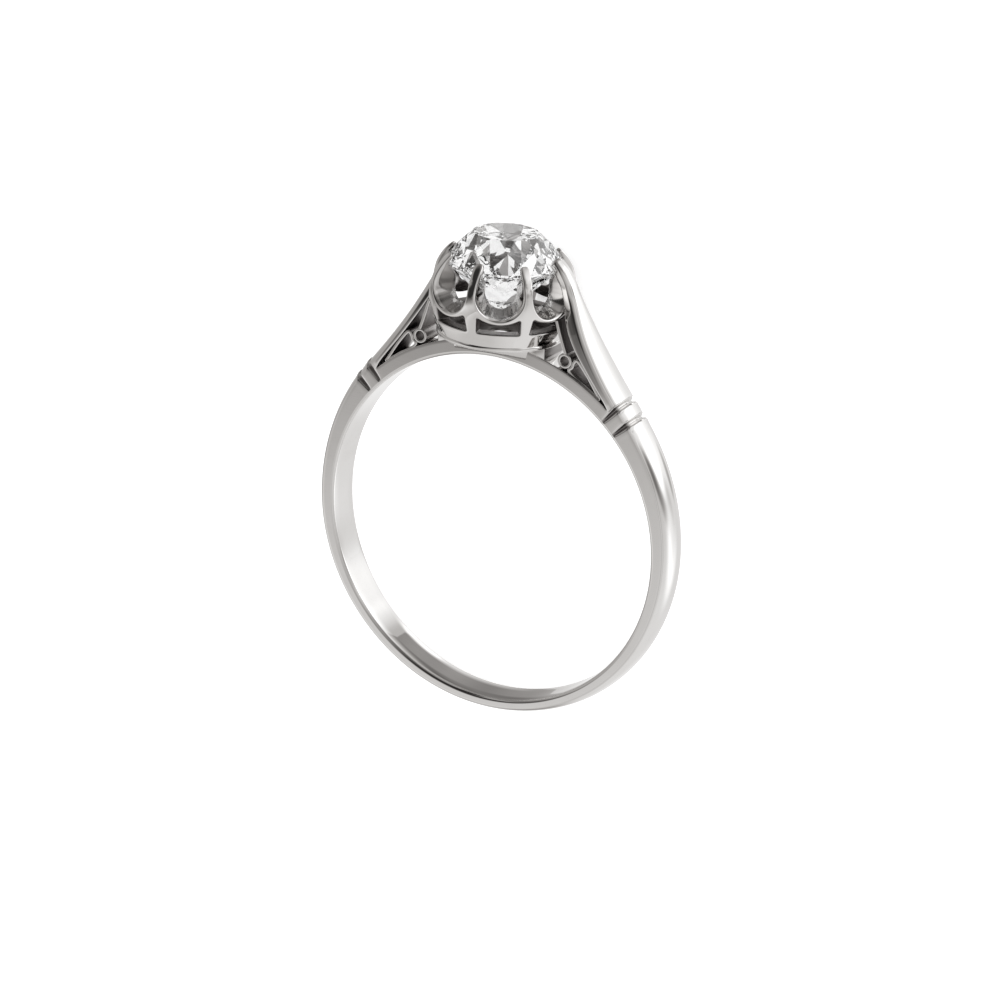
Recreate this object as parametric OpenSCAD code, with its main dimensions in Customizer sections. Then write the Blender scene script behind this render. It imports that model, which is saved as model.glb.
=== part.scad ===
// Solitaire ring: a polished white-metal hoop with pierced shoulders, an eight-claw collet on a
// bridge, and one old-cut brilliant. Millimetres. The ring is drawn standing, with the finger
// hole along Y and the stone up, and laid on its side as the last step.

/* [Hoop] */
// Diameter of the finger hole
finger_d = 17; // [16.9:0.05:17.1]
// Radius of the hoop's outer edge where the side faces end
hoop_edge_r = 9.13; // [9.08:0.01:9.2]
// How far the rounded back of the hoop stands out from that edge
hoop_dome = 0.32; // [0.24:0.02:0.4]
// How far the outer circle is set towards the stone, so the base is thinner
hoop_shift = 0.2; // [0.15:0.01:0.25]
// How much larger the outer circle is in the upper half, where the hoop thickens to the shoulders
flare_r = 1.15; // [1.05:0.05:1.25]
// Width of the hoop along the finger, at the base
base_w = 1.8; // [1.6:0.05:2]
// Width of the hoop along the finger, at the shoulders
shoulder_w = 2; // [1.9:0.05:2.1]
// Radius of the softened edges of the finger hole
bore_edge_r = 0.16; // [0.08:0.02:0.2]

/* [Shoulders] */
// Angle from the stone at which each pierced shoulder begins
shoulder_a = 43; // [42.5:0.1:43.5]
// Radius of the top of the thin band below the pierced shoulder
band_r = 9.24; // [9.2:0.01:9.28]
// Angle from the stone of the upper cross cut on each side
upper_cut_a = 42.8; // [42.5:0.1:43.1]
// Angle from the stone of the lower cross cut on each side
lower_cut_a = 47.9; // [47.5:0.1:48.5]
// Width of a cross cut at the back of the hoop
cut_w = 0.3; // [0.2:0.02:0.36]
// Depth of a cross cut
cut_depth = 0.17; // [0.1:0.01:0.2]
// Outer radius of the small tube in each shoulder
tube_r = 0.36; // [0.34:0.01:0.38]
// Radius of the hole through the tube
tube_hole_r = 0.22; // [0.18:0.01:0.24]
// Thickness of the thin strips inside the piercing
strip_t = 0.16; // [0.12:0.01:0.2]
// Width along the finger of the tube and the thin strips
inlay_w = 1.76; // [1.6:0.02:1.8]

/* [Collet] */
// Width of a claw
claw_w = 0.46; // [0.4:0.02:0.52]
// Height of the collet's foot above the centre of the finger hole
foot_z = 9.36; // [9.3:0.01:9.4]
// Radius of the wire that runs round the foot
foot_wire_r = 0.14; // [0.1:0.01:0.16]
// Height of the lower edge of the gallery windows
window_z = 10.28; // [10.2:0.01:10.35]
// Height of the middle of each window's arched upper edge
window_top_z = 10.74; // [10.65:0.01:10.8]
// Width of a gallery window
window_w = 1.96; // [1.8:0.02:2]
// Height of the lowest point of each scallop at the outside of the collet
scallop_z = 10.98; // [10.92:0.01:11.05]
// Turn of the collet about its own axis, in degrees
head_turn = 3.2; // [0:0.1:5]
// Lean of the collet towards one shoulder, in degrees
head_lean = 2.2; // [0:0.1:3]
// Lean of the shoulder straps towards the same side, in degrees
strap_lean = 3.5; // [0:0.1:4]

/* [Stone] */
// Radius of the stone at its girdle
stone_r = 2.7; // [2.65:0.01:2.72]
// Height of the girdle above the centre of the finger hole
girdle_z = 12.88; // [12.84:0.01:12.92]
// Thickness of the girdle
girdle_t = 0.1; // [0.06:0.01:0.14]
// Height of the table above the centre of the finger hole
table_z = 14.24; // [14.1:0.01:14.3]
// Radius of the table, to its corners
table_r = 1.53; // [1.4:0.01:1.6]
// Half of the angle that each star facet takes up along the table, in degrees
table_star_a = 14.6; // [12:0.1:18]
// Height of the culet above the centre of the finger hole
culet_z = 10.5; // [10.4:0.01:10.6]
// Radius of the culet, to its corners
culet_r = 0.3; // [0.2:0.01:0.4]
// Turn of the stone in its setting, in degrees
stone_turn = 6.3; // [0:0.1:12]
// Gap between the stone and its seat
seat_gap = 0.05; // [0.04:0.01:0.06]

/* [Hidden] */
$fn = 96;
bore_r = finger_d / 2;
// The hoop's back is part of a circle that reaches the side faces at their outer edge
side_y = (base_w + shoulder_w) / 4;
dome_r = (side_y * side_y + hoop_dome * hoop_dome) / (2 * hoop_dome);
dome_centre = hoop_edge_r + hoop_dome - dome_r;
base_crown = hoop_edge_r + hoop_dome - hoop_shift;
base_edge = dome_centre + sqrt(dome_r * dome_r - base_w * base_w / 4) - hoop_shift;
CLAWS = 8;
scallop_a = 360 / CLAWS;
half_claw_a = scallop_a / 2;

// Crest line of a shoulder strap from the hoop to the claw
// Columns: distance across, height, thickness, half width, rise of the rounded face, and how much
// thicker the right strap is than the left
STRAP = [
    [6.62, 7.37, 0.68, 1.02, 0.27, 0.00],
    [6.44, 7.60, 0.60, 1.03, 0.27, 0.04],
    [6.03, 8.14, 0.56, 1.02, 0.27, 0.10],
    [5.40, 9.02, 0.56, 0.96, 0.26, 0.18],
    [4.80, 9.94, 0.57, 0.86, 0.25, 0.28],
    [4.27, 10.86, 0.58, 0.70, 0.23, 0.28],
    [3.80, 11.74, 0.56, 0.50, 0.19, 0.10],
    [3.46, 12.40, 0.56, 0.44, 0.16, 0.00],
    [3.08, 12.94, 0.56, 0.42, 0.14, 0.00],
    [2.70, 13.32, 0.48, 0.38, 0.12, 0.00]
];
STRAP_STEPS = 3;
STRAP_ARC = 8;
// Angle by which the rounded back of the hoop goes on above the shoulder's start, into each strap
STRAP_LAP_A = 2;
// Distance from the finger hole at which a cross cut ends
CUT_FLOOR = 0.2;

// Widest point of the collet
RIM_R = 3.50;
RIM_Z = 11.55;
// Radius of the circle that the foot wire follows, the lower edge of the wall
FOOT_R = 2.84;
// Floor of the collet: its thickness, and the radius of the hole under the stone
FLOOR_T = 0.2;
FLOOR_HOLE_R = 0.45;
// Outline of the wall of the collet and its claws, up the outside and down the inside to the floor
// Columns: radius, height
COLLET_WALL = [
    [FOOT_R, foot_z],
    [2.98, 9.68],
    [3.20, window_z],
    [3.40, scallop_z],
    [RIM_R, RIM_Z],
    [3.48, 12.00],
    [3.36, 12.42],
    [3.12, 12.84],
    [2.86, 13.16],
    [2.62, 13.38],
    [2.42, 13.44],
    [2.20, 13.20],
    [2.36, 12.40],
    [2.44, 11.60],
    [2.46, 11.20],
    [2.60, 10.70],
    [2.56, window_z],
    [2.32, 9.70],
    [2.20, foot_z + FLOOR_T],
    [FLOOR_HOLE_R, foot_z + FLOOR_T],
    [FLOOR_HOLE_R, foot_z]
];

// Nearest and furthest distance from the collet's axis that a scallop and a window are cut
SCALLOP_REACH = [1.6, 4.2];
WINDOW_REACH = [2, 4];
// Radius of the wall where the bottom of a scallop is measured
SCALLOP_WALL_R = 3.3;
// Radius of the arch over each window
WINDOW_ARCH_R = 1.9;

// Leaf-shaped strip in the piercing: its outline from the tip up to the tube and back, then its hole
// Columns: distance across, height
LEAF = [
    [5.72, 7.28],
    [5.52, 7.66],
    [5.26, 8.08],
    [4.96, 8.52],
    [4.46, 9.08],
    [4.20, 9.00],
    [4.14, 8.76],
    [4.06, 8.56],
    [3.68, 8.47],
    [3.68, 8.20]
];
LEAF_HOLE = [
    [5.46, 7.46],
    [5.36, 7.64],
    [5.12, 8.02],
    [4.82, 8.44],
    [4.44, 8.86],
    [4.34, 8.70],
    [4.26, 8.50],
    [4.06, 8.33]
];
// Centre of the tube, and the upper end of the strut that joins it to the collet: across, height
TUBE_AT = [3.80, 8.88];
STRUT_TOP = [3.24, 10.66];
// Block under each side of the collet: nearest and furthest distance across, width, lower face
BLOCK_IN = 1.95;
BLOCK_OUT = 2.80;
BLOCK_W = 1.9;
BLOCK_LOW = 8.6;
// Top of the bridge between the two blocks
BRIDGE_TOP = 8.72;
// Radius of the corners of the star facets, and of the inner corners of the half facets below the girdle
STAR_R = 2.12;
HALF_R = 1.0;
// Larger than the ring in every direction, for the cutting tools
REACH = 16;

function last(list) = list[len(list) - 1];
function blend4(a, b, c, d, t) =
    0.5 * (2 * b + (c - a) * t + (2 * a - 5 * b + 4 * c - d) * t * t + (3 * b - a - 3 * c + d) * t * t * t);
// A table's rows with extra rows between them, on one smooth curve
function smooth_rows(rows, steps) = [
    for (i = [0 : len(rows) - 2], k = [0 : steps - 1])
        blend4(rows[max(i - 1, 0)], rows[i], rows[i + 1], rows[min(i + 2, len(rows) - 1)], k / steps),
    last(rows)
];
function unit(v) = v / norm(v);

// A flat outline in the plane of the hoop, made w thick along the finger
module across(w) {
    rotate([90, 0, 0])
        linear_extrude(w, center = true)
            children();
}

// Material between the two side faces, which come closer together at the base of the hoop
module side_faces(grow = 0) {
    rotate([90, 0, 90])
        linear_extrude(2 * REACH, center = true)
            polygon([
                [-base_w / 2 - grow, -base_crown - 0.1],
                [base_w / 2 + grow, -base_crown - 0.1],
                [shoulder_w / 2 + grow, band_r + 0.2],
                [-shoulder_w / 2 - grow, band_r + 0.2]
            ]);
}

// Wedge that takes in everything within an angle of the stone's direction
module head_wedge(a) {
    across(2 * shoulder_w)
        polygon([[0, 0], [-REACH * tan(a), REACH], [REACH * tan(a), REACH]]);
}

// A round bar bent into a full ring, whose outside is the back of the hoop
module back_ring(grow, inset) {
    rotate([90, 0, 0])
        rotate_extrude()
            translate([dome_centre + grow, 0])
                circle(dome_r - inset);
}

// The rounded back of the hoop: one circle below, a larger one on each side above
module hoop_round(inset = 0) {
    translate([0, 0, hoop_shift]) {
        intersection() {
            back_ring(0, inset);
            translate([-REACH, -shoulder_w, -REACH])
                cube([2 * REACH, 2 * shoulder_w, REACH]);
        }
        for (s = [0, 1])
            mirror([s, 0, 0])
                intersection() {
                    translate([-flare_r, 0, 0])
                        back_ring(flare_r, inset);
                    translate([0, -shoulder_w, 0])
                        cube([REACH, 2 * shoulder_w, REACH]);
                }
    }
}

// Tool that makes the finger hole with softened edges
module finger_hole() {
    rotate([90, 0, 0])
        cylinder(h = 3 * shoulder_w, r = bore_r, center = true);
    for (s = [0, 1])
        mirror([0, s, 0])
            rotate([90, 0, 0])
                translate([0, 0, shoulder_w / 2 - bore_edge_r])
                    difference() {
                        cylinder(h = shoulder_w / 2, r = bore_r + bore_edge_r);
                        rotate_extrude()
                            translate([bore_r + bore_edge_r, 0])
                                circle(bore_edge_r, $fn = 32);
                    }
}

// One cross cut: a wedge round the back and both sides, which leaves the core of the hoop
module cross_cut(a) {
    inner = bore_r + CUT_FLOOR;
    outer = REACH;
    inner_w = cut_w / 2;
    outer_w = inner_w + cut_w / 3 * (outer - inner);
    difference() {
        rotate([0, a, 0])
            across(2 * shoulder_w)
                polygon([
                    [-inner_w / 2, inner],
                    [inner_w / 2, inner],
                    [outer_w / 2, outer],
                    [-outer_w / 2, outer]
                ]);
        intersection() {
            hoop_round(cut_depth);
            side_faces(-cut_depth);
        }
    }
}

// Lower hoop, up to the shoulders on both sides, and the thin band that closes the circle
module hoop() {
    difference() {
        intersection() {
            union() {
                difference() {
                    hoop_round();
                    head_wedge(shoulder_a - STRAP_LAP_A);
                }
                intersection() {
                    rotate([90, 0, 0])
                        cylinder(h = 2 * shoulder_w, r = band_r, center = true);
                    head_wedge(shoulder_a);
                }
            }
            side_faces();
        }
        for (a = [upper_cut_a, lower_cut_a], s = [-1, 1])
            cross_cut(s * a);
    }
}

// Corner points of one section of the strap, square to its crest line
function strap_section(row, along, slant, swell) =
    let (
        out = [along[1], -along[0]],
        z = row[1],
        x = row[0] + slant * (z - STRAP[0][1]),
        t = row[2] + swell * row[5], w = row[3], rise = row[4]
    )
    concat(
        [for (k = [0 : STRAP_ARC])
            let (y = -w + 2 * w * k / STRAP_ARC, d = -rise * pow(y / w, 2))
            [x + out[0] * d, y, z + out[1] * d]],
        [for (s = [1, -1]) [x - out[0] * t, s * w, z - out[1] * t]]
    );

// Strap that rises from the hoop to the side claw, with its upper end moved across by the slant.
// Swell is 1 for the thicker strap and 0 for the other.
module strap(slant, swell) {
    rows = smooth_rows(STRAP, STRAP_STEPS);
    n = STRAP_ARC + 3;
    count = len(rows);
    points = [
        for (i = [0 : count - 1])
            let (
                a = rows[max(i - 1, 0)],
                b = rows[min(i + 1, count - 1)],
                along = unit([b[0] - a[0], b[1] - a[1]])
            )
            each strap_section(rows[i], along, slant, swell)
    ];
    sides = [
        for (i = [0 : count - 2], k = [0 : n - 1])
            let (p = i * n + k, q = i * n + (k + 1) % n)
            each [[p, p + n, q + n], [p, q + n, q]]
    ];
    ends = [
        for (k = [1 : n - 2])
            each [[0, k, k + 1], [(count - 1) * n, (count - 1) * n + k + 1, (count - 1) * n + k]]
    ];
    polyhedron(points, concat(sides, ends));
}

// What fills the space between strap and band: leaf, tube and strut
module piercing() {
    across(inlay_w)
        difference() {
            union() {
                difference() {
                    polygon(LEAF);
                    polygon(LEAF_HOLE);
                }
                translate(TUBE_AT)
                    circle(tube_r);
                polygon([
                    TUBE_AT + [-0.02, tube_r - 0.1],
                    STRUT_TOP,
                    STRUT_TOP + [strip_t, 0.05],
                    TUBE_AT + [strip_t, tube_r - 0.1]
                ]);
            }
            translate(TUBE_AT)
                circle(tube_hole_r);
        }
}

// One pierced shoulder with the block that carries the collet
module shoulder(slant, swell) {
    strap(slant, swell);
    piercing();
    translate([BLOCK_IN, -BLOCK_W / 2, BLOCK_LOW])
        cube([BLOCK_OUT - BLOCK_IN, BLOCK_W, foot_z + 0.1 - BLOCK_LOW]);
}

// Round bar that follows the shape of a scallop and narrows towards the stone
module scallop_cut() {
    outer = SCALLOP_REACH[1];
    inner = SCALLOP_REACH[0];
    flare = tan(half_claw_a);
    half_claw = claw_w / 2 / cos(half_claw_a);
    w_outer = outer * flare - half_claw;
    w_inner = inner * flare - half_claw;
    centre_z = scallop_z + SCALLOP_WALL_R * flare - half_claw;
    translate([inner, 0, centre_z])
        rotate([0, 90, 0])
            cylinder(h = outer - inner, r1 = w_inner, r2 = w_outer);
    translate([0, 0, centre_z])
        linear_extrude(table_z - scallop_z)
            polygon([[inner, -w_inner], [outer, -w_outer], [outer, w_outer], [inner, w_inner]]);
}

// One window of the gallery, with an arched upper edge
module gallery_window() {
    translate([WINDOW_REACH[0], 0, 0])
        rotate([90, 0, 90])
            linear_extrude(WINDOW_REACH[1] - WINDOW_REACH[0])
                difference() {
                    translate([-window_w / 2, window_z])
                        square([window_w, RIM_Z - window_z]);
                    translate([0, window_top_z + WINDOW_ARCH_R])
                        circle(WINDOW_ARCH_R);
                }
}

// Space that the stone takes up in its seat, with the gap all round
module stone_room() {
    rotate_extrude()
        polygon([
            [0, culet_z - seat_gap * 2],
            [culet_r + seat_gap, culet_z - seat_gap * 2],
            [stone_r + seat_gap, girdle_z - girdle_t / 2 - seat_gap],
            [stone_r + seat_gap, girdle_z + girdle_t / 2 + seat_gap],
            [table_r + seat_gap * 2, table_z + seat_gap * 2],
            [0, table_z + seat_gap * 2]
        ]);
}

// The collet: a flared cup with a foot, eight windows, eight scallops and eight claws
module collet() {
    difference() {
        union() {
            rotate_extrude()
                polygon(COLLET_WALL);
            rotate_extrude()
                translate([FOOT_R, foot_z + foot_wire_r])
                    circle(foot_wire_r, $fn = 32);
        }
        for (i = [0 : CLAWS - 1])
            rotate([0, 0, (i + 0.5) * scallop_a]) {
                scallop_cut();
                gallery_window();
            }
    }
}

// Turn and lean of the setting on its bridge
module head_pose() {
    translate([0, 0, foot_z])
        rotate([0, head_lean, 0])
            translate([0, 0, -foot_z])
                rotate([0, 0, head_turn])
                    children();
}

// Opening under the collet, between the blocks and above the bridge
module bridge_slot() {
    translate([-BLOCK_IN, -shoulder_w, BRIDGE_TOP])
        cube([2 * BLOCK_IN, 2 * shoulder_w, foot_z - BRIDGE_TOP]);
}

// The ring on its side, tipped until the collet's rim and the base of the hoop touch the ground
module lay_down() {
    tip = atan((RIM_R - base_w / 2) / (RIM_Z + base_edge));
    raise = base_w / 2 * cos(tip) + base_edge * sin(tip);
    translate([0, (base_crown - table_z) / 2, raise])
        rotate([tip - 90, 0, 0])
            children();
}

module mount() {
    color([0.80, 0.79, 0.78])
        lay_down()
            difference() {
                union() {
                    hoop();
                    for (s = [0, 1])
                        mirror([s, 0, 0])
                            shoulder((1 - 2 * s) * tan(strap_lean), 1 - s);
                    head_pose()
                        collet();
                }
                finger_hole();
                bridge_slot();
                head_pose()
                    stone_room();
            }
}

function stone_ring(r, z, count, turn) =
    [for (i = [0 : count - 1]) [r * cos(turn + i * 360 / count), r * sin(turn + i * 360 / count), z]];

// Old-cut brilliant: table, eight stars, eight kites, sixteen halves, and the same below
module brilliant() {
    top = girdle_z + girdle_t / 2;
    low = girdle_z - girdle_t / 2;
    step = 360 / 16;
    kite_top = table_r * cos(step - table_star_a);
    star_z = table_z - (STAR_R * cos(step) - kite_top) * (table_z - top) / (stone_r - kite_top);
    half_z = culet_z + (HALF_R * cos(step) - culet_r) * (low - culet_z) / (stone_r - culet_r);
    points = concat(
        stone_ring(table_r, table_z, 8, step - table_star_a),
        stone_ring(table_r, table_z, 8, step + table_star_a),
        stone_ring(STAR_R, star_z, 8, step),
        stone_ring(stone_r, top, 16, 0),
        stone_ring(stone_r, low, 16, 0),
        stone_ring(HALF_R, half_z, 8, step),
        stone_ring(culet_r, culet_z, 8, 0)
    );
    table = 0;
    table_next = 8;
    star = 16;
    crown = 24;
    pavilion = 40;
    half = 56;
    culet = 64;
    faces = concat(
        [[for (i = [7 : -1 : 0]) each [table_next + i, table + i]]],
        [[for (i = [0 : 7]) culet + i]],
        [for (i = [0 : 7])
            let (j = (i + 1) % 8, h = (i + 7) % 8, g = 2 * i, up = (2 * i + 1) % 16, next = (2 * i + 2) % 16)
            each [
                [table + i, table_next + i, star + i],
                [table + i, star + i, crown + g, star + h, table_next + h],
                [star + i, crown + up, crown + g],
                [star + i, crown + next, crown + up],
                [culet + j, culet + i, half + i],
                [culet + i, half + h, pavilion + g, half + i],
                [half + i, pavilion + g, pavilion + up],
                [half + i, pavilion + up, pavilion + next]
            ]],
        [for (i = [0 : 15]) [crown + i, crown + (i + 1) % 16, pavilion + (i + 1) % 16, pavilion + i]]
    );
    polyhedron(points, faces);
}

module stone() {
    color([0.93, 0.94, 0.95])
        lay_down()
            head_pose()
                rotate([0, 0, stone_turn])
                    brilliant();
}

mount();
stone();
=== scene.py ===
import math

import bmesh
import bpy
import numpy as np
from mathutils import Matrix, Vector
from mathutils.geometry import delaunay_2d_cdt


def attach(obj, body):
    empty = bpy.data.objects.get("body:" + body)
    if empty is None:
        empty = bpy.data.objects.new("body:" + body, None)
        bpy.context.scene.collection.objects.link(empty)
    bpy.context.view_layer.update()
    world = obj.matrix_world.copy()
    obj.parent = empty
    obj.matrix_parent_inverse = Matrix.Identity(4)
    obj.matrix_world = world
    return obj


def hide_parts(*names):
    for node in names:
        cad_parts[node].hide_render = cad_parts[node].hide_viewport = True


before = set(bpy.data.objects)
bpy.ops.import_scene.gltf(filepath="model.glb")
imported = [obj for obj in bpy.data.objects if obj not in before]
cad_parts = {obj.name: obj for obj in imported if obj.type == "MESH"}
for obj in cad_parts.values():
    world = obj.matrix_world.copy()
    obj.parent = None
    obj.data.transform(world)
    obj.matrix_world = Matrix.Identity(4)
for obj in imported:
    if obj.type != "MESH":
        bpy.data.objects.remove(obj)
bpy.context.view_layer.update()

# The hoop: a bar of white metal bent round the finger, flat at both sides, rounded at the back and softened
# along the edges of the finger hole. Two cross cuts are filed round it below each shoulder, and above them
# it goes on as a thin band, cut flat under the collet. Sizes are millimetres, with the ring upright.
finger_r, width_r = 8.5, 9.2  # the finger hole, and where the width is read
bore_edge_r, side_from_r = 0.16, 8.67
base_w, shoulder_w = 1.8, 2.0
hoop_edge_r, hoop_dome, hoop_shift, flare_r = 9.13, 0.32, 0.2, 1.15
band_r, band_from = 9.24, 41.0
slot_half, slot_z = 1.95, 8.72
cut_angles, cut_w, cut_depth, cut_inner_r = (42.8, 47.9), 0.3, 0.17, 8.62
crease_r = 0.07
side_y = (base_w + shoulder_w) / 4
dome_r = (side_y ** 2 + hoop_dome ** 2) / (2 * hoop_dome)
dome_centre = hoop_edge_r + hoop_dome - dome_r
base_crown = hoop_edge_r + hoop_dome - hoop_shift
base_edge = dome_centre + math.sqrt(dome_r ** 2 - base_w ** 2 / 4) - hoop_shift
rim_r, rim_z, table_z = 3.50, 11.55, 14.24
rest_tip = math.atan2(rim_r - base_w / 2, rim_z + base_edge)
rest_turn = Matrix.Rotation(rest_tip - math.pi / 2, 4, "X")
rest_lift = base_w / 2 * math.cos(rest_tip) + base_edge * math.sin(rest_tip)
laid = (Matrix.Translation((0, (base_crown - table_z) / 2000, rest_lift / 1000)) @ rest_turn
        @ Matrix.Scale(0.001, 4))
crease_angle = math.radians(38)


def placed(points):
    """Points in millimetres, with the ring upright, to their place in the lying ring in metres."""
    m = np.array(laid)
    return np.asarray(points, float) @ m[:3, :3].T + m[:3, 3]


def bezier(a, corner, b, steps):
    """Points of a soft corner from a to b, both left out."""
    t = np.linspace(0, 1, steps + 2)[1:-1, None]
    a, corner, b = (np.asarray(p, float) for p in (a, corner, b))
    return list((1 - t) ** 2 * a + 2 * t * (1 - t) * corner + t ** 2 * b)


def join_rings(rings, closed, caps=False):
    """Faces between rings of equally many points, and a fan over each open end."""
    count, n = len(rings), len(rings[0])
    points = np.concatenate([np.asarray(r, float) for r in rings])
    faces = []
    for i in range(count if closed else count - 1):
        p, q = i * n, (i + 1) % count * n
        faces += [(p + k, p + (k + 1) % n, q + (k + 1) % n, q + k) for k in range(n)]
    if caps:
        ends = np.array([rings[0], rings[-1]]).mean(1)
        points = np.concatenate([points, ends])
        last = (count - 1) * n
        faces += [(len(points) - 2, (k + 1) % n, k) for k in range(n)]
        faces += [(len(points) - 1, last + k, last + (k + 1) % n) for k in range(n)]
    return points, faces


def mark_painted_shade(mesh, share):
    """Stores painted shade on each point, from 0 to 1, as the 'inside' attribute: dark grey and rougher metal
    for shade in recesses.
    """
    mesh.attributes.new("inside", "FLOAT", "POINT").data.foreach_set("value", np.asarray(share, np.float32))


def new_piece(name, points, faces, material, share):
    """A smooth mesh in its place, whose faces all look outwards."""
    mesh = bpy.data.meshes.new(name)
    mesh.from_pydata(placed(points).tolist(), [], [tuple(int(i) for i in f) for f in faces])
    co = np.empty(len(mesh.vertices) * 3)
    mesh.vertices.foreach_get("co", co)
    co = co.reshape(-1, 3)
    mesh.calc_loop_triangles()
    tri = np.empty(len(mesh.loop_triangles) * 3, int)
    mesh.loop_triangles.foreach_get("vertices", tri)
    a, b, c = (co[i] for i in tri.reshape(-1, 3).T)
    if (a * np.cross(b, c)).sum() < 0:
        mesh.flip_normals()
    mesh.polygons.foreach_set("use_smooth", [True] * len(mesh.polygons))
    mesh.set_sharp_from_angle(angle=crease_angle)
    mesh.materials.append(material)
    mark_painted_shade(mesh, share)
    obj = bpy.data.objects.new(name, mesh)
    bpy.context.scene.collection.objects.link(obj)
    return obj


def finish_metal(obj):
    """Every metal piece is soldered, so it rides on the one body and stands in for the frame's mount."""
    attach(obj, "root")
    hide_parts("mount")


def socket(tree, name, kind, value=None, out=False):
    """A named input, or output, on the outside of a node group."""
    s = tree.interface.new_socket(name=name, in_out="OUTPUT" if out else "INPUT", socket_type=kind)
    if value is not None:
        s.default_value = value
    return s


def polish_group():
    """Slow waves left by hand polishing, smears that dull it, and hairlines from wear."""
    g = bpy.data.node_groups.new("hand polish", "ShaderNodeTree")
    socket(g, "Metal colour", "NodeSocketColor", (0.8, 0.79, 0.78, 1))
    socket(g, "Smear colour", "NodeSocketColor", (0.74, 0.72, 0.7, 1))
    socket(g, "Gloss", "NodeSocketFloat", 0.05)
    socket(g, "Smear roughness", "NodeSocketFloat", 0.14)
    socket(g, "Hairlines", "NodeSocketFloat", 0.03)
    socket(g, "Colour", "NodeSocketColor", out=True)
    socket(g, "Roughness", "NodeSocketFloat", out=True)
    socket(g, "Height", "NodeSocketFloat", out=True)
    n, link = g.nodes, g.links.new
    given, given_out = n.new("NodeGroupInput"), n.new("NodeGroupOutput")
    where = n.new("ShaderNodeTexCoord")
    waves = n.new("ShaderNodeTexNoise")
    waves.inputs["Scale"].default_value = 260
    waves.inputs["Detail"].default_value = 1.5
    smears = n.new("ShaderNodeTexNoise")
    smears.inputs["Scale"].default_value = 620
    smears.inputs["Detail"].default_value = 5
    smears.inputs["Distortion"].default_value = 0.6
    stretch = n.new("ShaderNodeMapping")
    stretch.inputs["Scale"].default_value = (900, 9000, 9000)
    stretch.inputs["Rotation"].default_value = (0.3, 0.5, 0.9)
    hairs = n.new("ShaderNodeTexNoise")
    hairs.inputs["Scale"].default_value = 1
    hairs.inputs["Detail"].default_value = 3
    mask = n.new("ShaderNodeMapRange")
    mask.inputs["From Min"].default_value = 0.48
    mask.inputs["From Max"].default_value = 0.78
    for texture in (waves, smears):
        link(where.outputs["Object"], texture.inputs["Vector"])
    link(where.outputs["Object"], stretch.inputs["Vector"])
    link(stretch.outputs["Vector"], hairs.inputs["Vector"])
    link(smears.outputs["Fac"], mask.inputs["Value"])
    colour = n.new("ShaderNodeMix")
    colour.data_type = "RGBA"
    link(mask.outputs["Result"], colour.inputs[0])
    link(given.outputs["Metal colour"], colour.inputs[6])
    link(given.outputs["Smear colour"], colour.inputs[7])
    rough = n.new("ShaderNodeMix")
    link(mask.outputs["Result"], rough.inputs[0])
    link(given.outputs["Gloss"], rough.inputs[2])
    link(given.outputs["Smear roughness"], rough.inputs[3])
    scratch = n.new("ShaderNodeMath")
    scratch.operation = "MULTIPLY"
    link(hairs.outputs["Fac"], scratch.inputs[0])
    link(given.outputs["Hairlines"], scratch.inputs[1])
    total = n.new("ShaderNodeMath")
    total.operation = "ADD"
    link(waves.outputs["Fac"], total.inputs[0])
    link(scratch.outputs[0], total.inputs[1])
    link(colour.outputs[2], given_out.inputs["Colour"])
    link(rough.outputs[0], given_out.inputs["Roughness"])
    link(total.outputs[0], given_out.inputs["Height"])
    return g


hand_polish = polish_group()


def white_metal(name, smear, gloss, wave_height):
    """Polished white metal: the group's colour, roughness and height in one metallic surface. Where the
    'inside' mark is set, the colour is painted dark grey as painted shade in recesses, and the roughness is
    raised."""
    m = bpy.data.materials.new(name)
    m.use_nodes = True
    n, link = m.node_tree.nodes, m.node_tree.links.new
    surface = n["Principled BSDF"]
    surface.inputs["Metallic"].default_value = 1
    polish = n.new("ShaderNodeGroup")
    polish.node_tree = hand_polish
    polish.inputs["Metal colour"].default_value = (0.80, 0.79, 0.78, 1)
    polish.inputs["Smear colour"].default_value = (*smear, 1)
    polish.inputs["Gloss"].default_value = gloss
    polish.inputs["Smear roughness"].default_value = 0.07
    bump = n.new("ShaderNodeBump")
    bump.inputs["Distance"].default_value = wave_height
    mark = n.new("ShaderNodeAttribute")
    mark.attribute_name = "inside"
    grey, shade_and_dull = n.new("ShaderNodeMix"), n.new("ShaderNodeMix")
    grey.data_type = "RGBA"
    link(mark.outputs["Fac"], grey.inputs[0])
    link(polish.outputs["Colour"], grey.inputs[6])
    # Painted shade: the dark grey colour where the 'inside' mark is set.
    grey.inputs[7].default_value = (0.26, 0.245, 0.24, 1)
    link(mark.outputs["Fac"], shade_and_dull.inputs[0])
    link(polish.outputs["Roughness"], shade_and_dull.inputs[2])
    shade_and_dull.inputs[3].default_value = 0.36
    link(grey.outputs[2], surface.inputs["Base Color"])
    link(shade_and_dull.outputs[0], surface.inputs["Roughness"])
    link(polish.outputs["Height"], bump.inputs["Height"])
    link(bump.outputs["Normal"], surface.inputs["Normal"])
    return m


hoop_metal = white_metal("polished white metal", smear=(0.77, 0.757, 0.745), gloss=0.04, wave_height=0.000006)


def half_width(z):
    """Half the width of the hoop along the finger, at a height."""
    low, high = -base_crown - 0.1, band_r + 0.2
    return base_w / 2 + (shoulder_w - base_w) / 2 * (z - low) / (high - low)


def back_reach(angle, y, inset):
    """Distance from the finger's centre to the hoop's back, at an angle from the stone."""
    across, up = math.sin(angle), math.cos(angle)
    above = up * hoop_edge_r > hoop_shift
    grow = flare_r if above else 0
    c = (-math.copysign(grow, across), hoop_shift)
    reach = dome_centre + grow + math.sqrt((dome_r - inset) ** 2 - y * y)
    along = across * c[0] + up * c[1]
    return along + math.sqrt(reach ** 2 - c[0] ** 2 - c[1] ** 2 + along ** 2)


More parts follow.
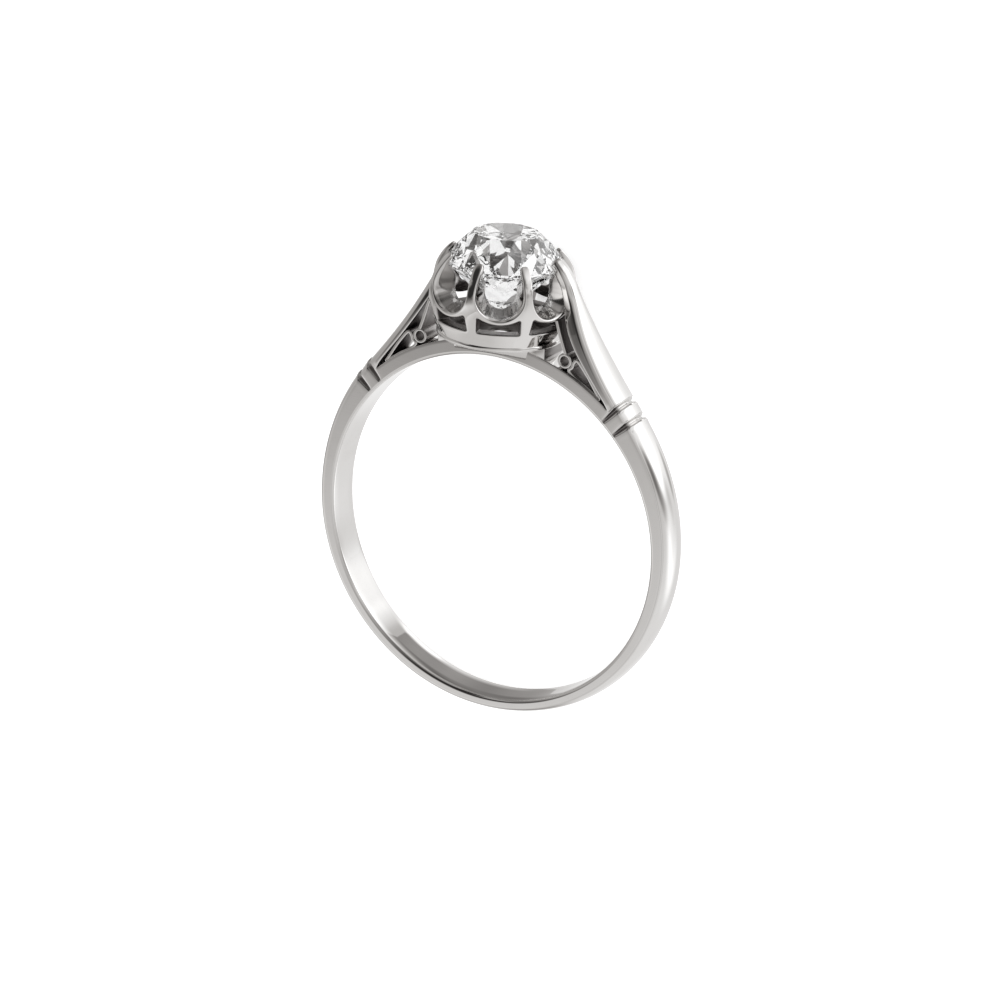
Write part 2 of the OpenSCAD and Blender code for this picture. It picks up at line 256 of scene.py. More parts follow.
def hoop_section(degrees, spread=0.0, inset=0.0):
    """One section of the hoop or band. Spread moves it off a cut's middle, in half widths of the cut."""
    angle = math.radians(degrees)
    off = abs((degrees + 180) % 360 - 180)
    is_band = off < band_from
    w = half_width(width_r * math.cos(angle))
    side = w - inset
    if is_band:
        flat = abs(band_r * math.sin(angle)) < slot_half
        outer = min(band_r, slot_z / math.cos(angle)) if flat else band_r
        edge = outer

        def back(y):
            return outer
    else:
        edge = back_reach(angle, side, inset)

        def back(y):
            return back_reach(angle, y, inset)
    e, c = bore_edge_r, crease_r * (0.5 if is_band else 1)
    half = [(finger_r, 0), (finger_r, (w - e) / 2), (finger_r, w - e)]
    half += [(finger_r + e - e * math.cos(t), w - e + e * math.sin(t))
             for t in np.radians((15, 30, 45, 60, 75, 90))]
    half += [(side_from_r + (edge - c - side_from_r) * t, w - inset * t ** 0.5)
             for t in (0, 0.06, 0.14, 0.25, 0.4, 0.6, 0.8, 1)]
    half += [tuple(p) for p in bezier((edge - c, side), (edge, side), (back(side - c), side - c), 4)]
    half += [(back(y), y) for y in np.linspace(side - c, 0, 13)]
    ring = half + [(r, -y) for r, y in half[-2:0:-1]]
    points = []
    for r, y in ring:
        reach = max(r, cut_inner_r)
        a = angle + spread * (cut_w / 2 + cut_w / 3 * (reach - cut_inner_r)) / 2 / r
        points.append((r * math.sin(a), y, r * math.cos(a)))
    return points


# From one lip of a cut to the other: half widths from its middle, and the share of its full depth.
cut_side = [(1.9, 0), (1.5, 0.01), (1.3, 0.04), (1.15, 0.1), (1.0, 0.2), (0.85, 0.34), (0.6, 0.62),
            (0.4, 0.84), (0.25, 0.95), (0.1, 0.995)]
cut_steps = [(-s, d) for s, d in cut_side] + [(0, 1)] + cut_side[::-1]
slot_a = math.degrees(math.asin(slot_half / band_r))
stations = [(a, 0, 0) for a in np.arange(0, slot_a, 1.2)] + [(slot_a - 0.05, 0, 0), (slot_a + 0.05, 0, 0)]
stations += [(a, 0, 0) for a in np.arange(slot_a + 1, band_from - 1.2, 1.2)] + [(band_from - 0.02, 0, 0)]
for cut in cut_angles:
    stations += [(cut, spread, share * cut_depth) for spread, share in cut_steps]
    if cut == cut_angles[0]:
        stations += [(cut + 2, 0, 0), (cut + 3, 0, 0)]
stations += [(a, 0, 0) for a in np.linspace(cut_angles[1] + 2.2, 180, 110)]
right_half = [hoop_section(a, s, i) for a, s, i in stations]
left_half = [[(-x, y, z) for x, y, z in ring] for ring in right_half[-2:0:-1]]
depth = [inset / cut_depth for _, _, inset in stations]
depth = np.repeat(depth + depth[-2:0:-1], len(right_half[0]))
hoop_points, hoop_faces = join_rings(right_half + left_half, closed=True)
# Painted shade in the cuts: the metal there is painted dark grey and made rougher, most of all near the flat
# sides.
shade_and_dull_gain, shade_and_dull_rise, shade_and_dull_from_y, shade_and_dull_to_y, shade_and_dull_least = 2.2, 0.08, 0.6, 0.85, 0.1
above_bore = np.clip((np.hypot(hoop_points[:, 0], hoop_points[:, 2]) - cut_inner_r) / shade_and_dull_rise, 0, 1)
near_side = np.clip((np.abs(hoop_points[:, 1]) - shade_and_dull_from_y) / (shade_and_dull_to_y - shade_and_dull_from_y), shade_and_dull_least, 1)
finish_metal(new_piece("hoop", hoop_points, hoop_faces, hoop_metal,
                       share=np.minimum(depth * shade_and_dull_gain, 1) * above_bore * near_side))

# The shoulder straps: two tapered strips of white metal with a rounded outer face, soldered on the hoop above
# the cuts. They sweep up to the collet, lean a little to one side, and are bent over the stone as its two
# side claws. Their inner faces, below the claws, carry painted shade: dark grey and rougher.
strap_rows = np.array([  # across, height, thickness, half width, rise of the face, how much thicker at right
    (6.62, 7.37, 0.68, 1.02, 0.27, 0.00),
    (6.44, 7.60, 0.60, 1.03, 0.27, 0.04),
    (6.03, 8.14, 0.56, 1.02, 0.27, 0.10),
    (5.40, 9.02, 0.56, 0.96, 0.26, 0.18),
    (4.80, 9.94, 0.57, 0.86, 0.25, 0.28),
    (4.27, 10.86, 0.58, 0.70, 0.23, 0.28),
    (3.80, 11.74, 0.56, 0.50, 0.19, 0.10),
    (3.46, 12.40, 0.56, 0.44, 0.16, 0.00),
    (3.08, 12.94, 0.56, 0.42, 0.14, 0.00),
    (2.70, 13.32, 0.48, 0.38, 0.12, 0.00),
])
strap_lean = math.tan(math.radians(3.5))
heel_r, tip_r, heel_rows = 0.05, 0.2, 6
strap_shade_and_dull_top, strap_shade_and_dull_fade = 12.2, 0.6
section_points, inner_face = 64, slice(28, 37)  # points round a strap's section, and those on its inner face


def smooth_rows(rows, steps):
    """A table's rows with extra rows between them, on one smooth curve."""
    rows = np.asarray(rows, float)
    out = []
    for i in range(len(rows) - 1):
        a, b, c, d = rows[max(i - 1, 0)], rows[i], rows[i + 1], rows[min(i + 2, len(rows) - 1)]
        for t in np.arange(steps) / steps:
            out.append(0.5 * (2 * b + (c - a) * t + (2 * a - 5 * b + 4 * c - d) * t ** 2
                              + (3 * b - a - 3 * c + d) * t ** 3))
    return np.array(out + [rows[-1]])


def strap_ring(row, along, lean, shrink=0.0, forward=0.0):
    """One closed section of a strap, square to its run, made smaller all round by shrink."""
    x, z, t, w, rise, swell = row
    t = t + swell * (lean > 0)
    x = x + lean * (z - strap_rows[0][1])
    out = (along[1], -along[0])
    w, t = w - shrink, t - shrink
    d, e = min(0.2, w / 3), min(0.06, w / 3)
    top = rise * (1 - d / w) ** 2
    half = [(y, shrink + rise * (y / w) ** 2) for y in np.linspace(0, w - d, 12)]
    half += [tuple(p) for p in bezier((w - d, shrink + top), (w, shrink + rise), (w, shrink + rise + d), 9)]
    half += [(w, s) for s in np.linspace(shrink + rise + d, t - e, 4)]
    half += [tuple(p) for p in bezier((w, t - e), (w, t), (w - e, t), 3)]
    half += [(y, t) for y in np.linspace(w - e, 0, 5)]
    ring = half + [(-y, s) for y, s in half[-2:0:-1]]
    return [(x - out[0] * s + along[0] * forward, y, z - out[1] * s + along[1] * forward) for y, s in ring]


def strap(side):
    """The sections of one strap from its foot, rounded off on the hoop, to the tip of its claw."""
    rows = smooth_rows(strap_rows, 12)
    runs = np.gradient(rows[:, :2], axis=0)
    runs /= np.linalg.norm(runs, axis=1)[:, None]
    radial = rows[0, :2] / np.linalg.norm(rows[0, :2])
    for i in range(heel_rows):
        runs[i] += (np.array((-radial[1], radial[0])) - runs[i]) * (1 - i / heel_rows)
    runs /= np.linalg.norm(runs, axis=1)[:, None]
    lean = side * strap_lean
    rings = [strap_ring(rows[0], runs[0], lean, heel_r * (1 - math.sin(t)), heel_r * (1 - math.cos(t)))
             for t in np.radians((0, 30, 60))]
    rings += [strap_ring(r, a, lean) for r, a in zip(rows[1:], runs[1:])]
    rings += [strap_ring(rows[-1], runs[-1], lean, tip_r * (1 - math.cos(t)), tip_r * math.sin(t))
              for t in np.radians((15, 30, 45, 60, 75, 88))]
    return [[(side * x, y, z) for x, y, z in ring] for ring in rings]


for side, name in ((1, "right_strap"), (-1, "left_strap")):
    strap_points, strap_faces = join_rings(strap(side), closed=False, caps=True)
    # Painted shade on each strap's inner face, fading out below the claw.
    shade_and_dull = np.zeros((len(strap_points) // section_points, section_points))
    shade_and_dull[:, inner_face] = 1
    below_claw = np.clip((strap_shade_and_dull_top - strap_points[:, 2]) / strap_shade_and_dull_fade, 0, 1)
    finish_metal(new_piece(name, strap_points, strap_faces, hoop_metal,
                           share=np.append(shade_and_dull.ravel(), (0, 0)) * below_claw))

# The piercing inside each shoulder: a thin strip of white metal bent to a leaf and set on the band, a thin
# strut from the tube up to the collet, and a block below each side of the collet. All are soldered in, a
# little narrower than the hoop.
inlay_w, strip_t, strip_edge_r, face_fade = 1.76, 0.15, 0.035, 0.06
tube_at, tube_r, tube_hole_r = (3.80, 8.88), 0.36, 0.22
leaf_path = [(5.62, 7.36), (5.44, 7.65), (5.19, 8.05), (4.89, 8.48), (4.46, 8.97), (4.27, 8.86), (4.19, 8.63),
             (4.02, 8.46), (4.30, 8.18), (4.80, 7.90), (5.25, 7.60)]
strut_path = [(3.83, 9.20), (3.56, 9.94), (3.32, 10.70)]
block_in, block_out, block_w, block_low, block_edge_r = 1.95, 2.80, 1.90, 8.6, 0.05
foot_z, block_into_foot = 9.36, 0.1


def away_from_face(points, w):
    """1 between the two side faces of a pierced piece, 0 on the faces themselves."""
    return np.clip((w / 2 - np.abs(np.asarray(points)[:, 1])) / face_fade, 0, 1)


def ribbon_ring(at, along, t, w, e):
    """Rounded rectangle square to a path in the plane of the hoop."""
    out = (along[1], -along[0])
    half = [(0, t / 2), ((w / 2 - e) / 2, t / 2), (w / 2 - e, t / 2)]
    half += [tuple(p) for p in bezier((w / 2 - e, t / 2), (w / 2, t / 2), (w / 2, t / 2 - e), 3)]
    half += [(w / 2, t / 2 - e), (w / 2, 0)]
    ring = half + [(y, -s) for y, s in half[-2::-1]] + [(-y, -s) for y, s in half[1:]]
    ring += [(-y, s) for y, s in half[-2:0:-1]]
    return [(at[0] + out[0] * s, y, at[1] + out[1] * s) for y, s in ring]


def ribbon(path, t, w, closed):
    """A strip bent on edge along a smooth path."""
    path = np.asarray(path, float)
    if closed:
        n = len(path)
        looped = smooth_rows(np.concatenate([path[-1:], path, path[:2]]), 6)[6:6 + 6 * n]
        runs = np.roll(looped, -1, 0) - np.roll(looped, 1, 0)
    else:
        looped = smooth_rows(path, 8)
        runs = np.gradient(looped, axis=0)
    runs /= np.linalg.norm(runs, axis=1)[:, None]
    rings = [ribbon_ring(p, a, t, w, strip_edge_r) for p, a in zip(looped, runs)]
    return join_rings(rings, closed, caps=not closed)


def gather(parts):
    """Several meshes as one list of points and faces."""
    points, faces, count = [], [], 0
    for p, f in parts:
        points.append(np.asarray(p, float))
        faces += [tuple(i + count for i in face) for face in f]
        count += len(p)
    return np.concatenate(points), faces


def soft_block(low, high, e):
    """A box with every edge rounded by e."""
    (x0, y0, z0), (x1, y1, z1) = low, high
    rings = []
    for t in np.radians((0, 30, 60, 90)):
        rings.append((e * (1 - math.sin(t)), z0 + e * (1 - math.cos(t))))
    rings += [(s, z1 + z0 - z) for s, z in rings[::-1]]
    out = []
    for s, z in rings:
        ring = []
        for cx, cy, a0 in ((x1, y1, 0), (x0, y1, 90), (x0, y0, 180), (x1, y0, 270)):
            sx, sy = (1 if cx == x1 else -1), (1 if cy == y1 else -1)
            for a in np.radians((0, 30, 60, 90)) + math.radians(a0):
                ring.append((cx - sx * e + (e - s) * math.cos(a), cy - sy * e + (e - s) * math.sin(a), z))
        out.append(ring)
    return join_rings(out, closed=False, caps=True)


# Painted shade on the leaf, strut and block between their two side faces, inside the piercing.
for side, name in ((1, "right"), (-1, "left")):
    flip = np.array((side, 1, 1))
    leaf_points, leaf_faces = ribbon(leaf_path, strip_t, inlay_w, closed=True)
    finish_metal(new_piece(name + "_leaf", leaf_points * flip, leaf_faces, hoop_metal,
                           share=away_from_face(leaf_points, inlay_w)))
    strut_points, strut_faces = ribbon(strut_path, strip_t, inlay_w, closed=False)
    finish_metal(new_piece(name + "_strut", strut_points * flip, strut_faces, hoop_metal,
                           share=away_from_face(strut_points, inlay_w)))
    low, high = (block_in, -block_w / 2, block_low), (block_out, block_w / 2, foot_z + block_into_foot)
    block_points, block_faces = soft_block(low, high, block_edge_r)
    finish_metal(new_piece(name + "_block", block_points * flip, block_faces, hoop_metal,
                           share=away_from_face(block_points, block_w)))

# The tube in each shoulder and the wire round the foot of the collet are plain turned rings of white metal.
# One tree draws both: a rounded section swept round a circle. The tubes are soldered between leaf, band and
# strut, and the wire where the collet stands on its blocks.
tube_edge_r = 0.04
head_turn, head_lean = math.radians(3.2), math.radians(2.2)
foot_r, foot_wire_r = 2.84, 0.14
head = (laid @ Matrix.Translation((0, 0, foot_z)) @ Matrix.Rotation(head_lean, 4, "Y")
        @ Matrix.Translation((0, 0, -foot_z)) @ Matrix.Rotation(head_turn, 4, "Z"))


def ring_tree():
    """A rounded bar swept round a circle, closed on itself."""
    t = bpy.data.node_groups.new("turned ring", "GeometryNodeTree")
    t.is_modifier = True
    for name, kind, value in (("Middle radius", "NodeSocketFloat", 1.0), ("Wall", "NodeSocketFloat", 0.2),
                              ("Length", "NodeSocketFloat", 1.0), ("Edge radius", "NodeSocketFloat", 0.05),
                              ("Steps round", "NodeSocketInt", 96), ("Metal", "NodeSocketMaterial", None)):
        socket(t, name, kind, value)
    socket(t, "Geometry", "NodeSocketGeometry", out=True)
    n, link = t.nodes, t.links.new
    given, out = n.new("NodeGroupInput"), n.new("NodeGroupOutput")
    circle = n.new("GeometryNodeCurvePrimitiveCircle")
    upright = n.new("GeometryNodeSetCurveNormal")
    upright.mode = "Z_UP"
    section = n.new("GeometryNodeCurvePrimitiveQuadrilateral")
    soften = n.new("GeometryNodeFilletCurve")
    soften.mode = "POLY"
    soften.inputs["Count"].default_value = 6
    sweep = n.new("GeometryNodeCurveToMesh")
    smooth = n.new("GeometryNodeSetShadeSmooth")
    real = n.new("GeometryNodeRealizeInstances")
    coat = n.new("GeometryNodeSetMaterial")
    link(given.outputs["Middle radius"], circle.inputs["Radius"])
    link(given.outputs["Steps round"], circle.inputs["Resolution"])
    link(circle.outputs["Curve"], upright.inputs["Curve"])
    link(given.outputs["Wall"], section.inputs["Width"])
    link(given.outputs["Length"], section.inputs["Height"])
    link(section.outputs["Curve"], soften.inputs["Curve"])
    link(given.outputs["Edge radius"], soften.inputs["Radius"])
    link(upright.outputs["Curve"], sweep.inputs["Curve"])
    link(soften.outputs["Curve"], sweep.inputs["Profile Curve"])
    link(sweep.outputs["Mesh"], smooth.inputs[0])
    link(smooth.outputs[0], real.inputs[0])
    link(real.outputs[0], coat.inputs["Geometry"])
    link(given.outputs["Metal"], coat.inputs["Material"])
    link(coat.outputs["Geometry"], out.inputs["Geometry"])
    return t


def grown(name, tree, values, matrix, base=None):
    """Runs a tree on a base mesh and keeps the result as a plain closed mesh, put in its place."""
    obj = bpy.data.objects.new(name, base or bpy.data.meshes.new(name))
    bpy.context.scene.collection.objects.link(obj)
    modifier = obj.modifiers.new(name, "NODES")
    modifier.node_group = tree
    sockets = {s.name: s.identifier for s in tree.interface.items_tree if s.in_out == "INPUT"}
    for key, value in values.items():
        modifier[sockets[key]] = value
    ready = obj.evaluated_get(bpy.context.evaluated_depsgraph_get())
    mesh = bpy.data.meshes.new_from_object(ready)
    obj.modifiers.clear()
    obj.data = mesh
    mesh.name = name
    mesh.transform(matrix)
    outward(mesh)
    return obj


def outward(mesh):
    """Merges doubles and turns every face outwards."""
    b = bmesh.new()
    b.from_mesh(mesh)
    bmesh.ops.remove_doubles(b, verts=b.verts, dist=2e-7)
    bmesh.ops.recalc_face_normals(b, faces=b.faces)
    b.to_mesh(mesh)
    b.free()
    mesh.polygons.foreach_set("use_smooth", [True] * len(mesh.polygons))
    mesh.set_sharp_from_angle(angle=crease_angle)


turned_ring = ring_tree()
wire_sizes = {"Middle radius": foot_r, "Wall": 2 * foot_wire_r, "Length": 2 * foot_wire_r,
              "Edge radius": 0.98 * foot_wire_r, "Steps round": 160, "Metal": hoop_metal}
wire_place = head @ Matrix.Translation((0, 0, foot_z + foot_wire_r))
finish_metal(grown("foot_wire", turned_ring, wire_sizes, wire_place))
tube_sizes = {"Middle radius": (tube_r + tube_hole_r) / 2, "Wall": tube_r - tube_hole_r, "Length": inlay_w,
              "Edge radius": tube_edge_r, "Steps round": 64, "Metal": hoop_metal}
for side, name in ((1, "right_tube"), (-1, "left_tube")):
    turned = Matrix.Translation((side * tube_at[0], 0, tube_at[1])) @ Matrix.Rotation(math.pi / 2, 4, "X")
    tube = grown(name, turned_ring, tube_sizes, turned)
    # Painted shade on the tube between its two end faces: its bore and its round outside.
    mark_painted_shade(tube.data, away_from_face([v.co for v in tube.data.vertices], inlay_w))
    tube.data.transform(laid)
    finish_metal(tube)

# The collet: a flared cup with a floor, turned from one piece of white metal, with eight arched windows sawn
# through its wall and eight scallops filed between its claws. One eighth of it is drawn, from the middle of
# one claw to the next, and repeated round the axis. The claws are bent over the stone's girdle.
claws, claw_w, claw_round, scallop_z, scallop_mid_x = 8, 0.46, 0.24, 10.98, 3.3
window_z, window_top_z, window_w, window_inner_w, arch_r, window_corner = 10.28, 10.74, 1.96, 1.74, 1.9, 0.07
rim_soft = {"wall": 0.09, "cut": 0.26, "inner": 0.045}
cup_outside = [  # radius and height, from the foot to the claw's end
    (2.84, 9.36), (2.98, 9.68), (3.20, 10.28), (3.40, 10.98), (3.50, 11.55), (3.48, 12.00), (3.36, 12.42),
    (3.12, 12.84), (2.86, 13.16), (2.62, 13.38), (2.50, 13.43),
]
cup_inside = [  # the same, from the edge of the hole in the floor
    (0.45, 9.36), (0.45, 9.46), (0.47, 9.52), (0.53, 9.548), (0.65, 9.553), (1.35, 9.556), (2.05, 9.56),
    (2.17, 9.58), (2.25, 9.63), (2.34, 9.74), (2.46, 9.98), (2.56, 10.28), (2.60, 10.70), (2.46, 11.20),
    (2.44, 11.60), (2.38, 12.36), (2.45, 12.50), (2.69, 12.75), (2.75, 12.83), (2.75, 12.96), (2.65, 13.09),
    (2.47, 13.33),
]
claw_top_out, claw_top_in = 13.37, 13.27
mesh_out, mesh_in = 0.085, 0.1
shade_and_dull_z, shade_and_dull_share = (10.8, 11.2), (1, 0.35)  # painted shade inside the cup, dark grey and rougher, less where it opens
half_step = math.pi / claws
flare = math.tan(half_step)
half_claw = claw_w / 2 / math.cos(half_step)
scallop_mid = scallop_z + scallop_mid_x * flare - half_claw


class Wall:
    """One face of the cup: its radius and height along the run from foot to claw, and its flat pattern."""

    def __init__(self, rows, top, opening):
        dense = smooth_rows(rows, 10)
        self.opening = opening
        self.r, self.z = dense.T
        steps = np.hypot(np.diff(self.r), np.diff(self.z))
        self.v = np.concatenate([[0], np.cumsum(steps)])
        self.top_z = top
        self.top = float(np.interp(top, self.z, self.v))
        self.mean = float(self.r.mean())

    def on(self, y, z):
        """Flat pattern place of the point at sideways y and height z."""
        r = np.interp(z, self.z, self.r)
        return self.mean * math.asin(y / r), float(np.interp(z, self.z, self.v))

    def solid(self, flat):
        """Points of the flat pattern on the turned wall."""
        flat = np.asarray(flat, float)
        r, z = (np.interp(flat[:, 1], self.v, a) for a in (self.r, self.z))
        a = flat[:, 0] / self.mean
        return np.stack([r * np.cos(a), r * np.sin(a), z], 1)

    def scallop(self):
        """Right half of the free edge: from the bottom of the scallop up the claw to its middle."""
        def settle(rule):
            x = 3.0
            for _ in range(40):
                w = x * flare - half_claw
                y, z = rule(w)
                r = float(np.interp(z, self.z, self.r))
                x = math.sqrt(max(r * r - y * y, 1))
            return self.on(y, z)

        points = [settle(lambda w, a=a: (w * math.sin(a), scallop_mid - w * math.cos(a)))
                  for a in np.linspace(0, math.pi / 2, 17)]
        points += [settle(lambda w, z=z: (w, z))
                   for z in np.linspace(scallop_mid, self.top_z - claw_round, 12)[1:]]
        side = points[-1]
        middle = self.mean * half_step
        corner = settle(lambda w: (w, self.top_z))
        inner = (corner[0] + 0.85 * (middle - corner[0]), self.top)
        points += [tuple(p) for p in bezier(side, (corner[0], self.top), inner, 5)] + [inner]
        points += [(middle, self.top)]
        return points

    def free_edge(self):
        """The whole free edge, from the middle of one claw to the middle of the next."""
        right = self.scallop()
        return np.array([(-u, v) for u, v in right[:0:-1]] + right)

    def window(self):
        """The window's outline: a straight sill and sides under a low arch, with soft corners."""
        half, e = self.opening / 2, window_corner

        def arch(y):
            return window_top_z + arch_r - math.sqrt(arch_r ** 2 - y * y)

        right = [(y, window_z) for y in np.linspace(0, half - e, 9)]
        right += [tuple(p) for p in bezier((half - e, window_z), (half, window_z), (half, window_z + e), 3)]
        right += [(half, z) for z in np.linspace(window_z + e, arch(half) - e, 6)]
        shoulder = (half, arch(half) - e), (half, arch(half)), (half - e, arch(half - e))
        right += [tuple(p) for p in bezier(*shoulder, 3)]
        right += [(y, arch(y)) for y in np.linspace(half - e, 0, 9)]
        loop = right + [(-y, z) for y, z in right[-2:0:-1]]
        return np.array([self.on(y, z) for y, z in loop])

    def foot(self):
        """The foot's edge, from claw to claw."""
        return np.array([(self.mean * a, 0.0) for a in np.linspace(half_step, -half_step, 20)])


def moved_in(chain, distance, closed):
    """A chain of the flat pattern moved into the metal, which is on its right."""
    if closed:
        runs = np.roll(chain, -1, 0) - np.roll(chain, 1, 0)
    else:
        runs = np.gradient(chain, axis=0)
        runs[[0, -1], 1] = 0
    runs /= np.linalg.norm(runs, axis=1)[:, None]
    return chain + distance * np.stack([runs[:, 1], -runs[:, 0]], 1)


def inside(points, loop):
    """Which points lie inside a closed loop."""
    hit = np.zeros(len(points), bool)
    x, y = points.T
    for (x0, y0), (x1, y1) in zip(loop, np.roll(loop, -1, 0)):
        if y0 != y1:
            cross = (y0 > y) != (y1 > y)
            hit ^= cross & (x < x0 + (y - y0) * (x1 - x0) / (y1 - y0))
    return hit


def far_from(points, loops, gap):
    """Which points keep a gap from every corner of the loops."""
    keep = np.ones(len(points), bool)
    for loop in loops:
        for q in loop:
            keep &= ((points - q) ** 2).sum(1) > gap * gap
    return keep


def patch(wall, edge, foot, window, spacing):
    """Even triangles over one face of the eighth. Points come back with the edge, foot and window first."""
    middle = wall.mean * half_step
    sides = np.linspace(foot[0, 1], edge[-1, 1], 52)[1:-1]
    right = np.array([(middle, v) for v in sides])
    left = right[::-1] * (-1, 1)
    outline = np.concatenate([foot[::-1], right, edge[::-1], left])
    fixed = np.concatenate([edge, foot, window, right, left])
    u, v = np.meshgrid(np.arange(-middle, middle, spacing), np.arange(0, wall.top, spacing * 0.866))
    u[1::2] += spacing / 2
    grid = np.stack([u.ravel(), v.ravel()], 1)
    grid = grid[inside(grid, outline) & ~inside(grid, window)]
    grid = grid[far_from(grid, (outline, window), 0.7 * spacing)]
    points = np.concatenate([fixed, grid])
    a, b, c, d = np.cumsum([len(edge), len(foot), len(window), len(right)])
    chains = [range(0, a), range(a, b), list(range(b, c)) + [b], [a] + list(range(c, d)) + [a - 1],
              [0] + list(range(d, d + len(left))) + [b - 1]]
    ties = [(i, j) for chain in chains for i, j in zip(list(chain)[:-1], list(chain)[1:])]
    found = delaunay_2d_cdt([Vector(p) for p in points], ties, [], 0, 1e-7, True)
    places = np.array([tuple(p) for p in found[0]])
    origin = [o[0] for o in found[3]]
    triangles = np.array([[origin[i] for i in f] for f in found[2]])
    middles = points[triangles].mean(1)
    keep = inside(middles, outline) & ~inside(middles, window)
    assert len(places) == len(points)
    return wall.solid(points), triangles[keep]


def rim(out_wall, in_wall, out_true, in_true, out_in, in_in, closed):
    """Rows of points across a cut edge: soft corner, sawn face, soft corner."""
    a, b = out_wall.solid(out_in), out_wall.solid(out_true)
    c, d = in_wall.solid(in_true), in_wall.solid(in_in)
    depth = np.linalg.norm(c - b, axis=1)[:, None]
    near = b + (c - b) * np.minimum(rim_soft["cut"] / depth, 0.55)
    far = c + (b - c) * np.minimum(rim_soft["inner"] / depth, 0.3)
    rows = [a]
    rows += [(1 - t) ** 2 * a + 2 * t * (1 - t) * b + t * t * near for t in np.linspace(0, 1, 10)[1:-1]]
    rows += [near + (far - near) * t for t in np.linspace(0, 1, 5)]
    rows += [(1 - t) ** 2 * far + 2 * t * (1 - t) * c + t * t * d for t in (0.25, 0.5, 0.75)]
    rows += [d]
    n, faces = len(a), []
    for i in range(len(rows) - 1):
        for k in range(n if closed else n - 1):
            faces.append((i * n + k, i * n + (k + 1) % n, (i + 1) * n + (k + 1) % n, (i + 1) * n + k))
    # Painted shade across each cut, rising from the outer wall to the inner: fast in the windows, slowly on
    # the scallops and foot.
    sawn = np.linspace(0, 1, len(rows))
    return np.concatenate(rows), faces, np.repeat(np.minimum(sawn * 2.5, 1) if closed else sawn ** 3, n)


def eighth():
    """One eighth of the cup: two walls and a rim along each cut, as points, faces and the share of painted
    shade.
    """
    out_wall = Wall(cup_outside, claw_top_out, window_w)
    in_wall = Wall(cup_inside, claw_top_in, window_inner_w)
    parts, rims, reach = [], [], []
    for wall, spacing, soft, shade_and_dull in ((out_wall, mesh_out, rim_soft["wall"], 0),
                                      (in_wall, mesh_in, rim_soft["inner"], 1)):
        chains = [(wall.free_edge(), False), (wall.foot(), False), (wall.window(), True)]
        pulled = [moved_in(c, soft, closed) for c, closed in chains]
        parts.append(patch(wall, *pulled, spacing))
        # Painted shade on the cup's inner wall, full low down and less towards the open top.
        reach.append(shade_and_dull * np.interp(parts[-1][0][:, 2], shade_and_dull_z, shade_and_dull_share))
        rims.append((chains, pulled))
    for i in range(3):
        (out_true, closed), (in_true, _) = rims[0][0][i], rims[1][0][i]
        *part, shade_and_dull = rim(out_wall, in_wall, out_true, in_true, rims[0][1][i], rims[1][1][i], closed)
        parts.append(part)
        reach.append(shade_and_dull)
    return *gather(parts), np.concatenate(reach)


def round_tree():
    """Copies of one share set round the axis and welded where they meet."""
    t = bpy.data.node_groups.new("repeat round an axis", "GeometryNodeTree")
    t.is_modifier = True
    socket(t, "Geometry", "NodeSocketGeometry")
    socket(t, "Count", "NodeSocketInt", 8)
    socket(t, "Weld distance", "NodeSocketFloat", 0.001)
    socket(t, "Metal", "NodeSocketMaterial")
    socket(t, "Geometry", "NodeSocketGeometry", out=True)
    n, link = t.nodes, t.links.new
    given, out = n.new("NodeGroupInput"), n.new("NodeGroupOutput")
    places = n.new("GeometryNodeMeshLine")
    places.inputs["Offset"].default_value = (0, 0, 0)
    index = n.new("GeometryNodeInputIndex")
    number = n.new("ShaderNodeMath")
    number.operation = "ADD"
    number.inputs[1].default_value = 0.5
    step = n.new("ShaderNodeMath")
    step.operation = "DIVIDE"
    step.inputs[0].default_value = 2 * math.pi
    angle = n.new("ShaderNodeMath")
    angle.operation = "MULTIPLY"
    turn = n.new("ShaderNodeCombineXYZ")
    stand = n.new("GeometryNodeInstanceOnPoints")
    real = n.new("GeometryNodeRealizeInstances")
    weld = n.new("GeometryNodeMergeByDistance")
    coat = n.new("GeometryNodeSetMaterial")
    link(given.outputs["Count"], places.inputs["Count"])
    link(given.outputs["Count"], step.inputs[1])
    link(index.outputs[0], number.inputs[0])
    link(number.outputs[0], angle.inputs[0])
    link(step.outputs[0], angle.inputs[1])
    link(angle.outputs[0], turn.inputs["Z"])
    link(places.outputs[0], stand.inputs["Points"])
    link(given.outputs["Geometry"], stand.inputs["Instance"])
    link(turn.outputs[0], stand.inputs["Rotation"])
    link(stand.outputs[0], real.inputs[0])
    link(real.outputs[0], weld.inputs["Geometry"])
    link(given.outputs["Weld distance"], weld.inputs["Distance"])
    link(weld.outputs[0], coat.inputs["Geometry"])
    link(given.outputs["Metal"], coat.inputs["Material"])
    link(coat.outputs["Geometry"], out.inputs["Geometry"])
    return t


collet_metal = white_metal("polished collet metal", smear=(0.77, 0.755, 0.74), gloss=0.03,
                           wave_height=0.000004)
eighth_points, eighth_faces, eighth_painted_shade = eighth()
eighth_mesh = bpy.data.meshes.new("collet_eighth")
eighth_mesh.from_pydata(eighth_points.tolist(), [], [tuple(int(i) for i in f) for f in eighth_faces])
mark_painted_shade(eighth_mesh, eighth_painted_shade)
repeat = {"Count": claws, "Weld distance": 0.0005, "Metal": collet_metal}
finish_metal(grown("collet", round_tree(), repeat, head, eighth_mesh))

# The stone: an old-cut brilliant with a small table, a high crown and an open culet, held by the claws. Its
# facets are those of the frame's own solid, which is kept.
diamond = bpy.data.materials.new("clear stone")
diamond.use_nodes = True
cut = diamond.node_tree.nodes["Principled BSDF"]
cut.inputs["Transmission Weight"].default_value = 1
cut.inputs["IOR"].default_value = 2.42
cut.inputs["Roughness"].default_value = 0
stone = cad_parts["stone"]
stone.data.materials.clear()
stone.data.materials.append(diamond)

